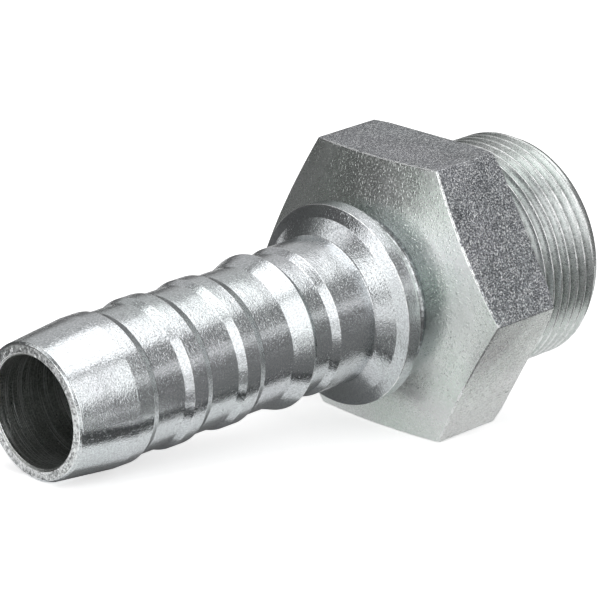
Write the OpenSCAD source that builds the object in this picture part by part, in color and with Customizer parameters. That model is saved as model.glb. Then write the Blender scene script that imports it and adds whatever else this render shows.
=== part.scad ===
// Male hydraulic hose fitting, turned from one hexagon bar of zinc plated steel.
// It lies on the floor as it comes to rest: on its hexagon and the end of its tail.
// The origin is on the turning axis at the hexagon's shoulder on the thread side.

/* [Thread end] */
// Major diameter of the parallel thread
thread_d = 30; // [26:1:33]
// Thread pitch, which sets the depth of the ridges, the undercut and the end chamfer
thread_pitch = 1.5; // [1:0.5:2]
// Length from the hexagon's shoulder to the thread's end face
thread_len = 15; // [12:0.5:20]
// Length of the plain undercut beside the shoulder
undercut_len = 2.2; // [2:0.1:4]
// Widest diameter of the internal cone seat in the end face
seat_d = 24; // [20:0.5:25]
// Included angle of the cone seat
seat_angle = 60; // [50:1:90]

/* [Hexagon] */
// Width across the flats
hex_af = 36; // [34:1:41]
// Length of the hexagon along its corners
hex_len = 10.5; // [8:0.2:14]
// Slope of the turned face on the tail side, from square
face_slope = 15; // [5:1:20]
// Slope of the chamfer on the shoulder side, from square
back_slope = 20; // [10:1:30]
// How far the shoulder side chamfer reaches in from the corners
back_reach = 1.2; // [0.5:0.1:2]

/* [Collar] */
// Diameter of the collar that holds the crimped shell
collar_d = 26; // [24:0.1:30]
// Width of the collar's plain rim
rim_len = 2; // [1:0.1:3]
// Length from the rim to the plane of the hexagon's corners
gap_len = 5.75; // [4:0.1:8]
// Diameter of the neck between collar and hexagon
neck_d = 20.8; // [18:0.5:23]
// Radius of the hollow fillet in front of the collar
collar_fillet = 1.5; // [1:0.1:3]
// Slope of the collar's front face from the axis
collar_slope = 60; // [50:1:80]

/* [Hose tail] */
// Through bore diameter
bore_d = 14; // [10:0.5:15]
// Length from the tail's end face to the collar's rim
tail_len = 49.9; // [46:0.2:56]
// Diameter at the tail's end face
nose_d = 17.2; // [16.5:0.05:18]
// Diameter over the rib crests
crest_d = 18.9; // [18.6:0.05:19.3]
// Diameter of the valleys between the ribs
root_d = 18; // [17.4:0.05:18.4]
// Diameter of the last and tallest rib
tall_d = 19.85; // [19.4:0.05:21]
// Diameter of the plain land beside the collar
land_d = 19.1; // [18.6:0.05:19.3]
// Distance from one rib to the next
rib_pitch = 8.65; // [8:0.05:8.9]
// Length from the end face to the back of the first crest
nose_len = 10.75; // [10:0.05:12]
// Length of each flat crest
crest_len = 2.2; // [1:0.1:3]
// Length of the ramp up to a crest
ramp_len = 1.1; // [0.5:0.1:2]
// Length of the ramp up to the last rib
tall_ramp_len = 2.8; // [2:0.05:4]
// Length of the slope behind each crest
step_len = 1.15; // [0.5:0.05:1.5]
// Length of the valley behind the last rib
valley_len = 2.6; // [1:0.05:4]
// Edge chamfer at the tail's end, inside and outside
edge_chamfer = 0.25; // [0.1:0.05:0.5]

/* [Hidden] */
$fn = 96;
// Overlap of joined solids, and overshoot of cuts
lap = 1;
rib_count = 4;
arc_steps = 8;

// Positions along the turning axis, measured from the shoulder
hex_front = -hex_len;
rim_back = hex_front - gap_len;
rim_front = rim_back - rim_len;
tail_end = rim_front - tail_len;
thread_depth = thread_pitch * 0.6134;
undercut_r = thread_d / 2 - thread_depth - 0.2;
thread_start = undercut_len + thread_d / 2 - undercut_r;
thread_stop = thread_len - thread_depth;
flank_len = thread_depth * tan(30);
ridge_top = thread_pitch / 8;
ridge_count = floor((thread_stop - thread_start - ridge_top) / thread_pitch);
seat_depth = (seat_d - bore_d) / 2 / tan(seat_angle / 2);

// The turned face is a cone, so the flats start ahead of the corners
corner_r = hex_af / 2 / cos(30);
function face_z(r) = hex_front - (corner_r - r) * tan(face_slope);
back_z = back_reach * tan(back_slope);

// The collar's fillet leaves the land level and ends on the front slope
fillet_rise = collar_fillet * (1 - cos(collar_slope));
slope_len = (collar_d / 2 - land_d / 2 - fillet_rise) / tan(collar_slope);
land_end = rim_front - slope_len - collar_fillet * sin(collar_slope);

first_back = tail_end + nose_len;
function crest_back(i) = first_back + i * rib_pitch;
tall_back = crest_back(rib_count - 1);

// Resting tilt: the first point of the tail to meet the floor stops the tipping
pivot_z = face_z(hex_af / 2);
function tip(r, z) = atan((hex_af / 2 - r) / (pivot_z - z));
tilt = min(
    tip(nose_d / 2, tail_end + edge_chamfer),
    tip(crest_d / 2, first_back - crest_len),
    tip(tall_d / 2, tall_back)
);

// Outline of the tail, from its end face to the back of the last valley
function rib(i) = [
    [root_d / 2, crest_back(i) - crest_len - ramp_len],
    [crest_d / 2, crest_back(i) - crest_len],
    [crest_d / 2, crest_back(i)],
    [root_d / 2, crest_back(i) + step_len]
];
tail_outline = [
    [0, tail_end],
    [nose_d / 2 - edge_chamfer, tail_end],
    [nose_d / 2, tail_end + edge_chamfer],
    [crest_d / 2, first_back - crest_len],
    [crest_d / 2, first_back],
    [root_d / 2, first_back + step_len],
    for (i = [1 : rib_count - 2]) each rib(i),
    [root_d / 2, tall_back - tall_ramp_len],
    [tall_d / 2, tall_back],
    [root_d / 2, tall_back + step_len],
    [root_d / 2, tall_back + step_len + valley_len],
    [land_d / 2, tall_back + step_len + valley_len + ramp_len]
];

// Outline of the collar with its fillet, then the neck up to the hexagon
fillet_arc = [
    for (k = [0 : arc_steps])
        let (a = collar_slope * k / arc_steps)
        [land_d / 2 + collar_fillet * (1 - cos(a)), land_end + collar_fillet * sin(a)]
];
collar_outline = [
    each fillet_arc,
    [collar_d / 2, rim_front],
    [collar_d / 2, rim_back],
    [neck_d / 2, rim_back],
    [neck_d / 2, hex_front],
    [0, hex_front]
];

// One groove between two thread ridges; rings stand for the helix
function groove(z) = [
    [thread_d / 2, z],
    [thread_d / 2 - thread_depth, z + flank_len],
    [thread_d / 2 - thread_depth, z + thread_pitch - ridge_top - flank_len],
    [thread_d / 2, z + thread_pitch - ridge_top]
];

// Outline of the thread end, from inside the hexagon to the end face
thread_outline = [
    [0, -hex_len / 2],
    [undercut_r, -hex_len / 2],
    [undercut_r, undercut_len],
    [thread_d / 2, thread_start],
    for (i = [0 : ridge_count - 1]) each groove(thread_start + ridge_top + i * thread_pitch),
    [thread_d / 2, thread_stop],
    [thread_d / 2 - thread_depth, thread_len],
    [0, thread_len]
];

module turned_ends() {
    rotate_extrude() polygon(concat(tail_outline, collar_outline));
    rotate_extrude() polygon(thread_outline);
}

// The hexagon bar, faced to a cone in front and chamfered at the shoulder
module hexagon() {
    intersection() {
        translate([0, 0, face_z(0)])
            rotate([0, 0, 30])
            cylinder(h = -face_z(0), r = corner_r, $fn = 6);
        rotate_extrude() polygon([
            [0, face_z(neck_d / 2 - lap)],
            [neck_d / 2 - lap, face_z(neck_d / 2 - lap)],
            [corner_r + lap, face_z(corner_r + lap)],
            [corner_r + lap, -back_z - lap * tan(back_slope)],
            [corner_r - back_reach, 0],
            [0, 0]
        ]);
    }
}

// The through bore, chamfered at the tail and opened to a cone seat at the thread
module bore() {
    rotate_extrude() polygon([
        [0, tail_end - lap],
        [bore_d / 2 + edge_chamfer + lap, tail_end - lap],
        [bore_d / 2, tail_end + edge_chamfer],
        [bore_d / 2, thread_len - seat_depth],
        [seat_d / 2 + lap * tan(seat_angle / 2), thread_len + lap],
        [0, thread_len + lap]
    ]);
}

// The whole fitting, one solid, laid down on its hexagon and tail
module hose_fitting() {
    color([0.72, 0.74, 0.74])
    rotate([0, 90 - tilt, 0])
    difference() {
        union() {
            turned_ends();
            hexagon();
        }
        bore();
    }
}

hose_fitting();
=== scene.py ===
import bpy
import math
import numpy as np
from mathutils import Matrix, Vector


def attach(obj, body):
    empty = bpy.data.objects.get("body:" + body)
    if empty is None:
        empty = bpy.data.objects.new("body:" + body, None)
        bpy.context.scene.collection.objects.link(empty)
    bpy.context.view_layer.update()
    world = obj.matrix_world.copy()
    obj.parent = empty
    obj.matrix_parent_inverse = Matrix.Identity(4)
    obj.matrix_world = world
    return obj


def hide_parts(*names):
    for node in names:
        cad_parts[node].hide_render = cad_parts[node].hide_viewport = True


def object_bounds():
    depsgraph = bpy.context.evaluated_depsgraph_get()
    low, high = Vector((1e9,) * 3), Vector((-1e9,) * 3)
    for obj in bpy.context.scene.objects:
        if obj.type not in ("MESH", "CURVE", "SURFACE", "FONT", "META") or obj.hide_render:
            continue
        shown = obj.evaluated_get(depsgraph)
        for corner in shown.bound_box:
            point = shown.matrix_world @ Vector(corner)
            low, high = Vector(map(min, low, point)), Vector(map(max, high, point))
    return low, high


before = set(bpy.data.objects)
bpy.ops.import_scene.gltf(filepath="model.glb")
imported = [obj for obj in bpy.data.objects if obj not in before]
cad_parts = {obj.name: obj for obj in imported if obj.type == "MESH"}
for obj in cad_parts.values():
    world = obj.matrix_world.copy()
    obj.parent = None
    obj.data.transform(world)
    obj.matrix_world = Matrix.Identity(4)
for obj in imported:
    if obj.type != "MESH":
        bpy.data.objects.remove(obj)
cad_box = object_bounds()


# Camera: a long lens at the photograph's viewing angle, from the hose tail's side and a
# little above the fitting.
eye = bpy.data.cameras.new("eye")
eye.lens = 240
eye.sensor_width = 36
eye.clip_start = 0.02
eye_object = bpy.data.objects.new("eye", eye)
eye_object.location = (-0.370998, -0.335257, 0.112396)
eye_object.rotation_euler = (1.337285, -0.098758, -0.778653)
bpy.context.scene.collection.objects.link(eye_object)
bpy.context.scene.camera = eye_object


# Tail, collar and hexagon.
# One bar of hexagon steel: the ribbed hose tail, the collar that locks the crimped shell,
# the neck and the faced hexagon are turned in one clamping, drilled through and zinc plated.
# Sizes are millimetres along and out from the turning axis; zero is the shoulder.
hex_flat = 18.0
hex_corner = hex_flat / math.cos(math.radians(30))
hex_front = -10.5
face_slope = math.radians(15)
corner_round = 0.12
back_slope = 0.364
back_chamfer_r = 19.58
least_chamfer = 0.12
rim_front = -18.25
rim_len = 2.0
collar_r = 13.0
front_len = 2.45
front_step_len = 0.72
front_step_r = 11.5
neck_r = 10.4
land_r = 9.55
crest_r = 9.45
crest_len = 2.2
valley_r = 9.0
ramp_len = 1.1
step_len = 1.15
tall_r = 9.925
tall_ramp_len = 2.8
last_valley_len = 2.6
rib_pitch = 8.65
first_back = -57.4
nose_r = 8.6
tail_end = -68.15
end_face_r = 8.32
end_edge_len = 0.3
bore_r = 7.0
bore_edge = 0.25


def faced(r):
    """Where the hexagon's turned face, a shallow cone, lies at one radius."""
    return hex_front - (hex_corner - r) * math.tan(face_slope)


# The fitting rests on the front edge of a flat and on the end of its tail, which tilts it
MM = 0.001
TILT = math.atan((hex_flat - nose_r) / (faced(hex_flat) - tail_end - bore_edge))
lay_down = Matrix.Rotation(-TILT, 4, "Y") @ Matrix.Scale(MM, 4)


def eased(corners, guard=0.07):
    """Round each corner (along, out, radius, steps, wear) of a closed outline.

    A mark above 0 is scuffed bright, and on the bore's chamfer edges it is a painted highlight; a mark
    below 0 is painted shade in a crease. A guard row on each side of a rounding keeps the mark and the
    soft shading at the edge.
    """
    rows = []
    for i, (s, r, radius, steps, wear_and_light_mark) in enumerate(corners):
        corner = np.array([s, r])
        before = np.array(corners[i - 1][:2]) - corner
        after = np.array(corners[(i + 1) % len(corners)][:2]) - corner
        before /= np.linalg.norm(before)
        after /= np.linalg.norm(after)
        inner = math.acos(max(-1, min(1, float(before @ after))))
        reach = radius / math.tan(inner / 2)
        halfway = (before + after) / np.linalg.norm(before + after)
        centre = corner + halfway * radius / math.sin(inner / 2)
        start = corner + before * reach - centre
        end = corner + after * reach - centre
        sweep = math.pi - inner
        rows.append((*(corner + before * (reach + guard)), 0.0))
        for k in range(steps + 1):
            f = k / steps
            spoke = (start * math.sin((1 - f) * sweep) + end * math.sin(f * sweep)) / math.sin(sweep)
            rows.append((*(centre + spoke), wear_and_light_mark))
        rows.append((*(corner + after * (reach + guard)), 0.0))
    return rows


def hex_reach(angle):
    """Distance from the axis to the hexagon's side, with its corners rounded."""
    off = (angle + 30) % 60 - 30
    flat_reach = hex_flat / math.cos(math.radians(off))
    middle = (hex_flat - corner_round) / math.cos(math.radians(30))
    from_corner = math.radians(30 - abs(off))
    beside = middle * math.sin(from_corner)
    if beside >= corner_round:
        return flat_reach
    return min(flat_reach, middle * math.cos(from_corner) + math.sqrt(corner_round ** 2 - beside ** 2))


def side_outline(angle):
    """Corners of the piece's closed outline at one angle round the axis, tail end first."""
    reach = hex_reach(angle)
    # the 0.9 marks on the bore's two chamfer edges, here and in the inside outline, are a painted highlight
    tail = [
        (tail_end, bore_r + bore_edge, 0.06, 2, 0.9), (tail_end, end_face_r, 0.1, 3, 1.0),
        (tail_end + end_edge_len, nose_r, 0.12, 2, 0.5), (first_back - crest_len, crest_r, 0.8, 3, 0.0),
        (first_back, crest_r, 0.2, 3, 0.4), (first_back + step_len, valley_r, 0.12, 2, -0.5)]
    # the foot of each rib's step, here and on the first rib above, is marked -0.5: painted shade in the
    # crease
    for i in (1, 2):
        back = first_back + i * rib_pitch
        tail += [
            (back - crest_len - ramp_len, valley_r, 0.3, 2, 0.0), (back - crest_len, crest_r, 0.18, 3, 0.3),
            (back, crest_r, 0.25, 3, 0.4), (back + step_len, valley_r, 0.12, 2, -0.5)]
    tall = first_back + 3 * rib_pitch
    valley_back = tall + step_len + last_valley_len
    tail += [
        (tall - tall_ramp_len, valley_r, 0.35, 2, 0.0), (tall, tall_r, 0.12, 3, 0.6),
        (tall + step_len, valley_r, 0.12, 2, -0.5), (valley_back, valley_r, 0.2, 2, 0.0),
        (valley_back + ramp_len, land_r, 0.15, 3, 0.5)]
    # the hollow at the foot of the collar's front (-0.2) and the neck between collar and hexagon (-0.6,
    # -0.5) carry painted shade
    collar = [
        (rim_front - front_len, land_r, 0.35, 5, -0.2),
        (rim_front - front_step_len, front_step_r, 0.15, 3, 0.25),
        (rim_front, collar_r, 0.1, 3, 1.0), (rim_front + rim_len, collar_r, 0.12, 3, 1.0),
        (rim_front + rim_len, neck_r, 0.3, 3, -0.6), (faced(neck_r), neck_r, 0.7, 4, -0.5)]
    chamfer_r = min(reach - least_chamfer, back_chamfer_r)
    hexagon = [
        (faced(reach), reach, 0.22, 3, 1.0), (-back_slope * (reach - chamfer_r), reach, 0.06, 2, 0.9),
        (0, chamfer_r, 0.06, 2, 0.5), (0, bore_r, 0.04, 1, 0.0)]
    # the bore's inner chamfer edge: a painted highlight
    inside = [(tail_end + bore_edge, bore_r, 0.08, 2, 0.9)]
    return tail, collar, hexagon, inside


# Angles crowd towards the hexagon's corners, where the edges are rounded
side = np.linspace(-1, 1, 45)[:-1]
turns = [60 * k + 30 * (0.15 * u + 0.85 * math.sin(u * math.pi / 2)) for k in range(6) for u in side]
# Rows of the rounded outline up to the end of the collar, the hexagon and the inside. A corner
# takes its steps and three more rows, and a finish changes halfway through a rounding.
collar_rows, hex_rows, all_rows = np.cumsum(
    [sum(steps + 3 for s, r, radius, steps, wear_and_light_mark in part) for part in side_outline(0)])[1:]
face_start = collar_rows - 2
flat_start = collar_rows + 2
flat_end = flat_start + 4
TURNED, FACED, SHADED_FLAT, BORE, SAWN, DRAWN = range(6)


def finish_of(row, upper):
    """Which finish the strip after a row has; flats that face up take a darker copy of the flats' zinc,
    painted shade, and flats that face down the lighter drawn zinc.
    """
    if face_start <= row < flat_start:
        return FACED
    if flat_start <= row <= flat_end:
        return SHADED_FLAT if upper else DRAWN
    if row >= hex_rows - 3 or row == 0:
        return BORE
    return SAWN if row < 5 else TURNED


verts, wear_and_light_marks = [], []
for angle in turns:
    # the hexagon lies on a flat, so flats face straight up and down
    bearing = math.radians(angle + 90)
    corner_wear = 0.25 * max(0.0, 1 - (30 - abs((angle + 30) % 60 - 30)) / 0.7)
    for row, (s, r, wear_and_light_mark) in enumerate(eased(sum(side_outline(angle), []))):
        verts.append((s, r * math.cos(bearing), r * math.sin(bearing)))
        on_flat = flat_start <= row <= flat_end + 2
        wear_and_light_marks.append(wear_and_light_mark + (corner_wear if on_flat else 0.0))
faces, finishes = [], []
for i in range(len(turns)):
    this = i * all_rows
    other = (i + 1) % len(turns) * all_rows
    for row in range(all_rows):
        ahead = (row + 1) % all_rows
        faces.append((this + row, this + ahead, other + ahead, other + row))
        finishes.append(finish_of(row, verts[this + row][2] > 0 or verts[other + row][2] > 0))
body_mesh = bpy.data.meshes.new("turned_body")
body_mesh.from_pydata(verts, [], faces)
body_mesh.transform(lay_down)
body_mesh.polygons.foreach_set("material_index", finishes)
body_mesh.polygons.foreach_set("use_smooth", [True] * len(faces))
# per point: scuffed edges and painted highlights above 0, painted shade in creases below 0
wear_and_light_layer = body_mesh.attributes.new("worn_edge", "FLOAT", "POINT")
wear_and_light_layer.data.foreach_set("value", wear_and_light_marks)
body_mesh.update()
turned_body = bpy.data.objects.new("turned_body", body_mesh)
bpy.context.scene.collection.objects.link(turned_body)


class Wire:
    """A socket of the node tree being wired; arithmetic on it adds Math nodes."""
    tree = None

    def __init__(self, socket):
        self.socket = socket

    @classmethod
    def add(cls, kind, settings=None, links=None, out=0):
        """Add a node with its settings, its sockets' values or wires, and give one output."""
        node = cls.tree.nodes.new(kind)
        for name, value in (settings or {}).items():
            if name == "stops":
                ramp = node.color_ramp
                while len(ramp.elements) < len(value):
                    ramp.elements.new(0.5)
                for element, (place, colour) in zip(ramp.elements, value):
                    element.position = place
                    element.color = colour if isinstance(colour, tuple) else (*[colour] * 3, 1)
            else:
                setattr(node, name, value)
        for name, value in (links or {}).items():
            if isinstance(value, Wire):
                cls.tree.links.new(value.socket, node.inputs[name])
            else:
                node.inputs[name].default_value = value
        return cls(node.outputs[out])

    def math(self, operation, *others):
        links = dict(enumerate((self,) + others))
        return Wire.add("ShaderNodeMath", {"operation": operation}, links)

    def __add__(self, other):
        return self.math("ADD", other)

    __radd__ = __add__

    def __mul__(self, other):
        return self.math("MULTIPLY", other)

    __rmul__ = __mul__

    def __sub__(self, other):
        return self.math("SUBTRACT", other)

    def __rsub__(self, other):
        return Wire.add("ShaderNodeMath", {"operation": "SUBTRACT"}, {0: other, 1: self})

    def __truediv__(self, other):
        return self.math("DIVIDE", other)

    def __pow__(self, other):
        return self.math("POWER", other)


def zinc(name, colour, dark, rough, grain, grain_size, pimples, rings, ring_pitch, ring_turns,
         pits, nicks, tint, glints):
    """Zinc plating over one kind of worked steel surface; sizes in millimetres.

    Colour and dark are the two ends of the speckle. Grain, pimples and rings are heights in
    hundredths of a millimetre, ring_pitch and ring_turns the width and the breaks of the lathe's
    rings, and pits, nicks, tint and glints the strength of each from 0 to 1.
    """
    material = bpy.data.materials.new(name)
    material.use_nodes = True
    tree = Wire.tree = material.node_tree
    shader = tree.nodes["Principled BSDF"]
    place = Wire.add("ShaderNodeTexCoord", out=3)
    turned = Wire.add("ShaderNodeMapping", {}, {0: place, 2: (0, TILT, 0), 3: (1 / MM,) * 3})
    along, aside, up = [Wire.add("ShaderNodeSeparateXYZ", {}, {0: turned}, out=k) for k in range(3)]
    out_from_axis = (aside * aside + up * up) ** 0.5
    around = up.math("ARCTAN2", aside)

    def cloud(size, detail=2.0, roughness=0.5, at=turned):
        return Wire.add("ShaderNodeTexNoise", {}, {
            "Vector": at, "Scale": 1 / size, "Detail": detail, "Roughness": roughness})

    def spread(value, low, high, bottom=0.0, top=1.0):
        return Wire.add("ShaderNodeMapRange", {}, {
            "Value": value, "From Min": low, "From Max": high, "To Min": bottom, "To Max": top})

    def blend(share, under, over):
        return Wire.add("ShaderNodeMix", {"data_type": "RGBA"}, {0: share, 6: under, 7: over}, out=2)

    speckle = cloud(grain_size, 2.0, 0.6)
    flecks = spread(cloud(grain_size * 1.3, 1.0, 0.5), 0.56, 0.70)
    slow = cloud(5.0, 2.0)
    blush = cloud(11.0, 1.0)
    lathe = Wire.add("ShaderNodeCombineXYZ", {}, {
        0: along / ring_pitch, 1: out_from_axis / ring_pitch, 2: around * ring_turns})
    ring = Wire.add("ShaderNodeTexNoise", {}, {"Vector": lathe, "Scale": 1.0, "Detail": 2.0})
    wear_and_light = Wire.add("ShaderNodeAttribute", {"attribute_name": "worn_edge"}, out=2)
    # the mark's negative part is painted shade in creases, its positive part scuffed edges and painted
    # highlights
    crease_shade = (wear_and_light * -1.0).math("MAXIMUM", 0.0) * spread(cloud(0.6, 2.0), 0.35, 0.6)
    wear_and_light = wear_and_light.math("MAXIMUM", 0.0) * spread(cloud(0.9, 3.0), 0.40, 0.56)
    pit = Wire.add("ShaderNodeTexVoronoi", {"feature": "F1"}, {
        "Vector": turned, "Scale": 0.8, "Randomness": 1.0})
    pitted = spread(pit, 0.03, 0.14, pits, 0.0)
    drawn = Wire.add("ShaderNodeMapping", {}, {0: turned, 2: (0.4, 0.9, 0.5), 3: (0.9, 4.5, 4.5)})
    scratches = spread(cloud(1.0, 2.0, 0.5, drawn), 0.66, 0.74, 0.0, nicks)
    nicked = scratches * spread(cloud(2.5, 1.0), 0.45, 0.6)
    crystals = Wire.add("ShaderNodeTexVoronoi", {"feature": "F1"}, {
        "Vector": turned, "Scale": 1.1 / grain_size}, out=1)
    glint = spread(Wire.add("ShaderNodeSeparateColor", {}, {0: crystals}), 0.74, 0.86, 0.0, glints)

    # a fine speckle over a slow green and rose blush, dark in the pits, with painted shade in creases;
    # bright on scuffed edges, and a painted highlight on the bore's edges and the thread's crests
    green = tuple(c * t for c, t in zip(colour, (0.95, 1.0, 0.965)))
    rose = tuple(c * t for c, t in zip(colour, (1.0, 0.955, 0.99)))
    sheen = Wire.add("ShaderNodeValToRGB", {
        "stops": [(0.40, (*green, 1)), (0.5, (*colour, 1)), (0.62, (*rose, 1))]}, {0: blush})
    mottle = spread(speckle * 0.9 + slow * 0.1, 0.45, 0.57)
    ring_lines = spread(ring, 0.54, 0.68, 0.0, min(1.0, rings * 0.15))
    base = blend(mottle, (*dark, 1), blend(tint, (*colour, 1), sheen))
    base = blend(ring_lines, base, (0.92, 0.93, 0.93, 1))
    base = blend(glint, base, (0.93, 0.94, 0.95, 1))
    base = blend(pitted + crease_shade + nicked, base, (0.12, 0.12, 0.12, 1))
    base = blend(wear_and_light * 0.9, base, (0.88, 0.89, 0.89, 1))
    tree.links.new(base.socket, shader.inputs["Base Color"])

    roughness = rough + (speckle - 0.5) * 0.2 + (slow - 0.5) * 0.16 + (ring - 0.5) * rings * 0.06
    roughness = (roughness + pitted * 0.3 - wear_and_light * 0.1).math("MAXIMUM", 0.08)
    tree.links.new(roughness.socket, shader.inputs["Roughness"])
    shader.inputs["Metallic"].default_value = 1.0

    height = speckle * grain + flecks * pimples + ring * rings + slow * 12.0
    height = height - pitted * 1.5 - nicked * 1.5
    bump = Wire.add("ShaderNodeBump", {}, {"Strength": 1.0, "Distance": MM / 100, "Height": height})
    tree.links.new(bump.socket, shader.inputs["Normal"])
    return material


turned_zinc = zinc(
    "turned_zinc", colour=(0.69, 0.72, 0.735), dark=(0.54, 0.565, 0.58), rough=0.17, grain=1.9,
    grain_size=0.20, pimples=1.1, rings=0.6, ring_pitch=0.10, ring_turns=2.0, pits=0.5, nicks=0.3,
    tint=0.5, glints=0.15)
faced_zinc = zinc(
    "faced_zinc", colour=(0.82, 0.86, 0.835), dark=(0.77, 0.81, 0.785), rough=0.28, grain=0.9,
    grain_size=0.22, pimples=2.4, rings=0.4, ring_pitch=0.14, ring_turns=1.5, pits=0.05, nicks=0.0,
    tint=1.0, glints=0.4)
# the flats that face up: a darker copy of the flats' zinc, painted shade
shaded_flat_zinc = zinc(
    "shaded_flat_zinc", colour=(0.60, 0.62, 0.65), dark=(0.12, 0.127, 0.14), rough=0.22, grain=4.0,
    grain_size=0.165, pimples=6.0, rings=0.0, ring_pitch=0.12, ring_turns=1.0, pits=0.4, nicks=0.7,
    tint=0.4, glints=0.8)
bore_zinc = zinc(
    "bore_zinc", colour=(0.56, 0.58, 0.56), dark=(0.38, 0.395, 0.385), rough=0.36, grain=2.0,
    grain_size=0.22, pimples=1.0, rings=6.0, ring_pitch=0.12, ring_turns=0.8, pits=0.3, nicks=0.0,
    tint=0.2, glints=0.0)
sawn_zinc = zinc(
    "sawn_zinc", colour=(0.88, 0.90, 0.90), dark=(0.36, 0.37, 0.375), rough=0.33, grain=9.0,
    grain_size=0.36, pimples=10.0, rings=1.5, ring_pitch=0.14, ring_turns=1.0, pits=1.0, nicks=0.8,
    tint=0.2, glints=0.6)
drawn_zinc = zinc(
    "drawn_zinc", colour=(0.74, 0.76, 0.745), dark=(0.60, 0.615, 0.605), rough=0.26, grain=4.0,
    grain_size=0.24, pimples=3.0, rings=0.0, ring_pitch=0.12, ring_turns=1.0, pits=0.4, nicks=1.0,
    tint=0.6, glints=0.12)
for material in (turned_zinc, faced_zinc, shaded_flat_zinc, bore_zinc, sawn_zinc, drawn_zinc):
    body_mesh.materials.append(material)
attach(turned_body, "root")


# Threaded end.
# The male thread beyond the shoulder, cut after an undercut for the tool to run out, with a
# chamfered start and an internal cone that seals on the mating fitting. Part of the same bar.
thread_pitch = 1.5
thread_r = 15.0
thread_len = 15.0
thread_depth = thread_pitch * 0.6134
undercut_r = thread_r - thread_depth - 0.2
undercut_len = 2.2
thread_stop = thread_len - thread_depth
seat_r = 12.0
seat_depth = (seat_r - bore_r) / math.tan(math.radians(30))
# the end reaches a little into the hexagon, and its bore is a little wider than the tail's
root_end = -0.3
end_bore_r = bore_r + 0.03
row_step = 0.06

end_outline = eased([
    (root_end, undercut_r, 0.02, 1, 0.0), (undercut_len, undercut_r, 0.25, 3, 0.0),
    (undercut_len + thread_r - undercut_r, thread_r, 0.12, 3, 0.0)])
crest_places = np.arange(end_outline[-1][0] + row_step, thread_stop - 0.1, row_step)
end_outline += [(s, thread_r, 0.0) for s in crest_places]
end_outline += eased([
    (thread_stop, thread_r, 0.1, 3, 0.5), (thread_len, thread_r - thread_depth, 0.12, 3, 0.8),
    (thread_len, seat_r, 0.12, 3, 0.8), (thread_len - seat_depth, end_bore_r, 0.15, 2, 0.3),
    (root_end, end_bore_r, 0.02, 1, 0.0)])[1:]
outline_mesh = bpy.data.meshes.new("threaded_end_outline")
outline_mesh.from_pydata([(s, 0, r) for s, r, wear_and_light_mark in end_outline], [], [])
threaded_end = bpy.data.objects.new("threaded_end", outline_mesh)
bpy.context.scene.collection.objects.link(threaded_end)

tree = bpy.data.node_groups.new("turn_and_thread", "GeometryNodeTree")
face = tree.interface
face.new_socket("Outline", in_out="INPUT", socket_type="NodeSocketGeometry")
for label, kind in (("Steps Round", "NodeSocketInt"), ("Major Radius", "NodeSocketFloat"),
                    ("Pitch", "NodeSocketFloat"), ("Depth", "NodeSocketFloat"),
                    ("Finish", "NodeSocketMaterial")):
    face.new_socket(label, in_out="INPUT", socket_type=kind)
face.new_socket("Turned", in_out="OUTPUT", socket_type="NodeSocketGeometry")
Wire.tree = tree
given = tree.nodes.new("NodeGroupInput")
outline, steps_round, major, pitch, depth, finish = (Wire(given.outputs[k]) for k in range(6))
points = Wire.add("GeometryNodeAttributeDomainSize", {"component": "MESH"}, {0: outline})
# a grid with one row a point of the outline and one column a step round the axis
grid = Wire.add("GeometryNodeMeshGrid", {}, {
    "Size X": points, "Size Y": steps_round, "Vertices X": points + 1, "Vertices Y": steps_round + 1})
spot = Wire.add("GeometryNodeInputPosition")
grid_x = Wire.add("ShaderNodeSeparateXYZ", {}, {0: spot}, out=0)
grid_y = Wire.add("ShaderNodeSeparateXYZ", {}, {0: spot}, out=1)
outline_row = (grid_x + points * 0.5).math("ROUND").math("FLOORED_MODULO", points)
turn = (grid_y + steps_round * 0.5).math("ROUND") / steps_round
here = Wire.add("GeometryNodeSampleIndex", {"data_type": "FLOAT_VECTOR", "domain": "POINT"}, {
    "Geometry": outline, "Value": spot, "Index": outline_row})
along = Wire.add("ShaderNodeSeparateXYZ", {}, {0: here}, out=0)
out_r = Wire.add("ShaderNodeSeparateXYZ", {}, {0: here}, out=2)
# one ridge a pitch: a flat crest a tenth of it wide, straight flanks and a narrow flat root
phase = (along / pitch - turn).math("FRACT")
from_crest = (phase - 0.5).math("ABSOLUTE") * 2
flank = Wire.add("ShaderNodeMapRange", {"interpolation_type": "LINEAR"}, {
    "Value": from_crest, "From Min": 0.10, "From Max": 0.86, "To Min": 0.0, "To Max": 1.0})
ridge_r = major - depth * flank
final_r = out_r.math("MINIMUM", ridge_r)
angle = turn * (2 * math.pi)
moved = Wire.add("ShaderNodeCombineXYZ", {}, {
    0: along, 1: final_r * angle.math("COSINE"), 2: final_r * angle.math("SINE")})
# the crests are painted bright, part scuffing and part painted highlight, and the roots get painted
# shade; the plating's material reads both. Stored before the rows are moved, while the position
# still counts rows and steps
crest_scuff_and_highlight = Wire.add("ShaderNodeMapRange", {}, {
    "Value": from_crest, "From Min": 0.12, "From Max": 0.26, "To Min": 1.0, "To Max": 0.0})
root_shade = Wire.add("ShaderNodeMapRange", {}, {
    "Value": from_crest, "From Min": 0.50, "From Max": 0.74, "To Min": 0.0, "To Max": 0.55})
on_thread = out_r.math("GREATER_THAN", major - 0.02)
marked = Wire.add("GeometryNodeStoreNamedAttribute", {"data_type": "FLOAT", "domain": "POINT"}, {
    "Geometry": grid, "Name": "worn_edge", "Value": (crest_scuff_and_highlight - root_shade) * on_thread})
swept = Wire.add("GeometryNodeSetPosition", {}, {"Geometry": marked, "Position": moved})
closed = Wire.add("GeometryNodeMergeByDistance", {}, {"Geometry": swept, "Distance": 0.0005})
smooth = Wire.add("GeometryNodeSetShadeSmooth", {}, {"Geometry": closed})
real = Wire.add("GeometryNodeRealizeInstances", {}, {0: smooth})
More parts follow.
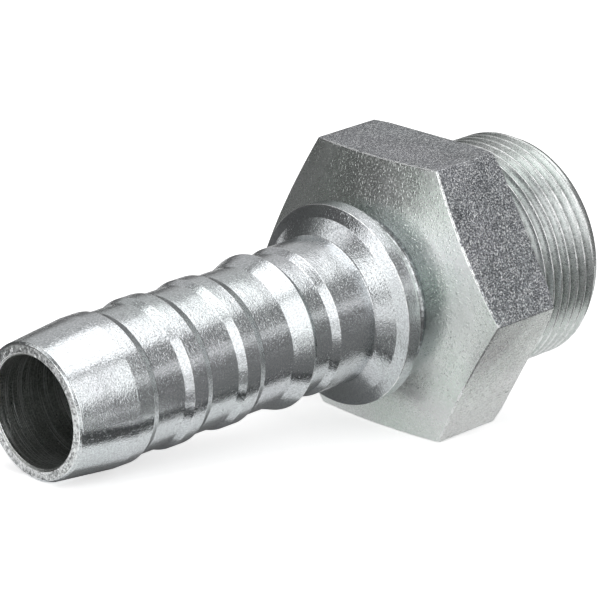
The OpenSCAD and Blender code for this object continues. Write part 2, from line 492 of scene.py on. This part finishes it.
done = Wire.add("GeometryNodeSetMaterial", {}, {"Geometry": real, "Material": finish})
leave = tree.nodes.new("NodeGroupOutput")
tree.links.new(done.socket, leave.inputs[0])

thread_zinc = zinc(
    "thread_zinc", colour=(0.74, 0.775, 0.76), dark=(0.60, 0.63, 0.62), rough=0.27, grain=0.8,
    grain_size=0.2, pimples=0.4, rings=0.05, ring_pitch=0.2, ring_turns=2.0, pits=0.2, nicks=0.0,
    tint=0.7, glints=0.12)
lathe_work = threaded_end.modifiers.new("turn_and_thread", "NODES")
lathe_work.node_group = tree
for label, value in (("Steps Round", 264), ("Major Radius", thread_r), ("Pitch", thread_pitch),
                     ("Depth", thread_depth), ("Finish", thread_zinc)):
    lathe_work[face.items_tree[label].identifier] = value
whole = threaded_end.evaluated_get(bpy.context.evaluated_depsgraph_get())
end_mesh = bpy.data.meshes.new_from_object(whole)
threaded_end.modifiers.remove(lathe_work)
threaded_end.data = end_mesh
end_mesh.name = "threaded_end"
end_mesh.transform(lay_down)
bpy.data.meshes.remove(outline_mesh)
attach(threaded_end, "root")
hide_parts("hose_fitting")
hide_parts("hose_fitting")


# Floor and studio light.
# A wide white table under the fitting, six soft lamps, and dark cards that the metal mirrors.
# None of it is part of the fitting, so all of it stays out of the exported part.
floor_mesh = bpy.data.meshes.new("floor")
floor_z = cad_box[0][2]
half_wide = 4
floor_corners = [
    (x * half_wide, y * half_wide, floor_z) for x, y in ((-1, -1), (1, -1), (1, 1), (-1, 1))]
floor_mesh.from_pydata(floor_corners, [], [(0, 1, 2, 3)])
floor = bpy.data.objects.new("floor", floor_mesh)
bpy.context.scene.collection.objects.link(floor)
white = bpy.data.materials.new("white_table")
white.use_nodes = True
paper = white.node_tree.nodes["Principled BSDF"]
paper.inputs["Base Color"].default_value = (0.88, 0.88, 0.88, 1)
paper.inputs["Roughness"].default_value = 0.9
paper.inputs["Specular IOR Level"].default_value = 0.1
# the table's white is lifted a little wherever it is seen, in the metal too
Wire.tree = white.node_tree
by_camera, in_gloss, in_glass = [Wire.add("ShaderNodeLightPath", out=k) for k in (0, 3, 6)]
lift = (in_gloss + in_glass).math("MINIMUM", 1.0) * 0.26 + by_camera * 0.62
paper.inputs["Emission Strength"].default_value = 1.0
white.node_tree.links.new(lift.socket, paper.inputs["Emission Color"])
floor_mesh.materials.append(white)


lamp_distance = 0.8


def softbox(name, towards, wide, high, radiance):
    """A rectangular lamp that faces the part, with the given brightness of its face."""
    lamp = bpy.data.lights.new(name, "AREA")
    lamp.shape = "RECTANGLE"
    lamp.size, lamp.size_y = wide, high
    lamp.energy = radiance * math.pi * wide * high
    holder = bpy.data.objects.new(name, lamp)
    way = np.array(towards) / np.linalg.norm(towards)
    holder.location = way * lamp_distance
    holder.rotation_euler = Vector(way).to_track_quat("Z", "Y").to_euler()
    bpy.context.scene.collection.objects.link(holder)


softbox("overhead", (0.13, 0.0, 0.99), 0.79, 0.70, 1.5)
softbox("back", (0.38, 0.72, 0.57), 0.60, 0.50, 0.35)
softbox("right_front", (-0.08, -0.86, 0.48), 0.80, 0.80, 1.4)
softbox("left", (-0.94, -0.10, 0.24), 0.74, 0.46, 1.6)
softbox("left_back", (-0.62, 0.47, 0.62), 0.45, 0.24, 1.0)
softbox("right", (0.62, -0.71, 0.33), 0.45, 0.22, 0.6)


def dark_card(name, tone, corners):
    """A dark card that only the metal sees, for its dark reflections."""
    mesh = bpy.data.meshes.new(name)
    mesh.from_pydata(corners, [], [(0, 1, 2, 3)])
    card = bpy.data.objects.new(name, mesh)
    card.visible_camera = False
    card.visible_shadow = False
    card.visible_diffuse = False
    dark = bpy.data.materials.new(name)
    dark.use_nodes = True
    board = dark.node_tree.nodes["Principled BSDF"]
    board.inputs["Base Color"].default_value = (tone, tone, tone, 1)
    board.inputs["Roughness"].default_value = 0.9
    mesh.materials.append(dark)
    bpy.context.scene.collection.objects.link(card)


def lying(*spots):
    """The corners of a card that lies just over the floor."""
    return [(x, y, low) for x, y in spots]


def standing(left, right, top):
    """The corners of a card that stands on the floor between two spots, up to a height."""
    return [(*left, low), (*right, low), (*right, top), (*left, top)]


low = floor_z + 0.0005
dark_card("near_card", 0.15, standing((-0.072, -0.0130), (-0.010, -0.0147), low + 0.0055))
dark_card("mid_card", 0.20, lying((-0.041, -0.0170), (0.012, -0.0185), (0.10, -0.06), (-0.022, -0.054)))
dark_card("nose_card", 0.28, lying(
    (-0.060, -0.0240), (-0.0386, -0.0240), (-0.022, -0.054), (-0.040, -0.062)))
dark_card("side_card", 0.20, lying((-0.026, -0.054), (0.10, -0.04), (0.24, -0.06), (0.0, -0.25)))
dark_card("right_card", 0.30, standing((0.03, -0.25), (0.24, -0.06), 0.06))
# under the tail: a painted shadow, the floor's shade under the fitting as the metal mirrors it
dark_card("under_shadow_card", 0.45, lying((-0.066, -0.006), (-0.013, -0.006), (-0.013, 0.035), (-0.066, 0.035)))
dark_card("end_card", 0.20, lying((-0.078, 0.008), (-0.066, 0.035), (-0.12, 0.09), (-0.13, 0.04)))
dark_card("back_card", 0.14, lying((-0.075, 0.035), (0.14, 0.03), (0.02, 0.32), (-0.27, 0.10)))
dark_card("left_card", 0.11, standing((-0.27, 0.10), (0.02, 0.32), 0.11))

world = bpy.data.worlds.new("studio")
bpy.context.scene.world = world
world.use_nodes = True
Wire.tree = world.node_tree
gaze = Wire.add("ShaderNodeTexCoord", out=0)
height = Wire.add("ShaderNodeSeparateXYZ", {}, {0: gaze}, out=2)
room = Wire.add("ShaderNodeValToRGB", {
    "stops": [(0.0, 0.12), (0.25, 0.17), (0.5, 0.27), (0.76, 0.27), (1.0, 0.6)]}, {0: height})
world.node_tree.links.new(room.socket, world.node_tree.nodes["Background"].inputs["Color"])

bpy.context.scene.view_settings.view_transform = "Standard"
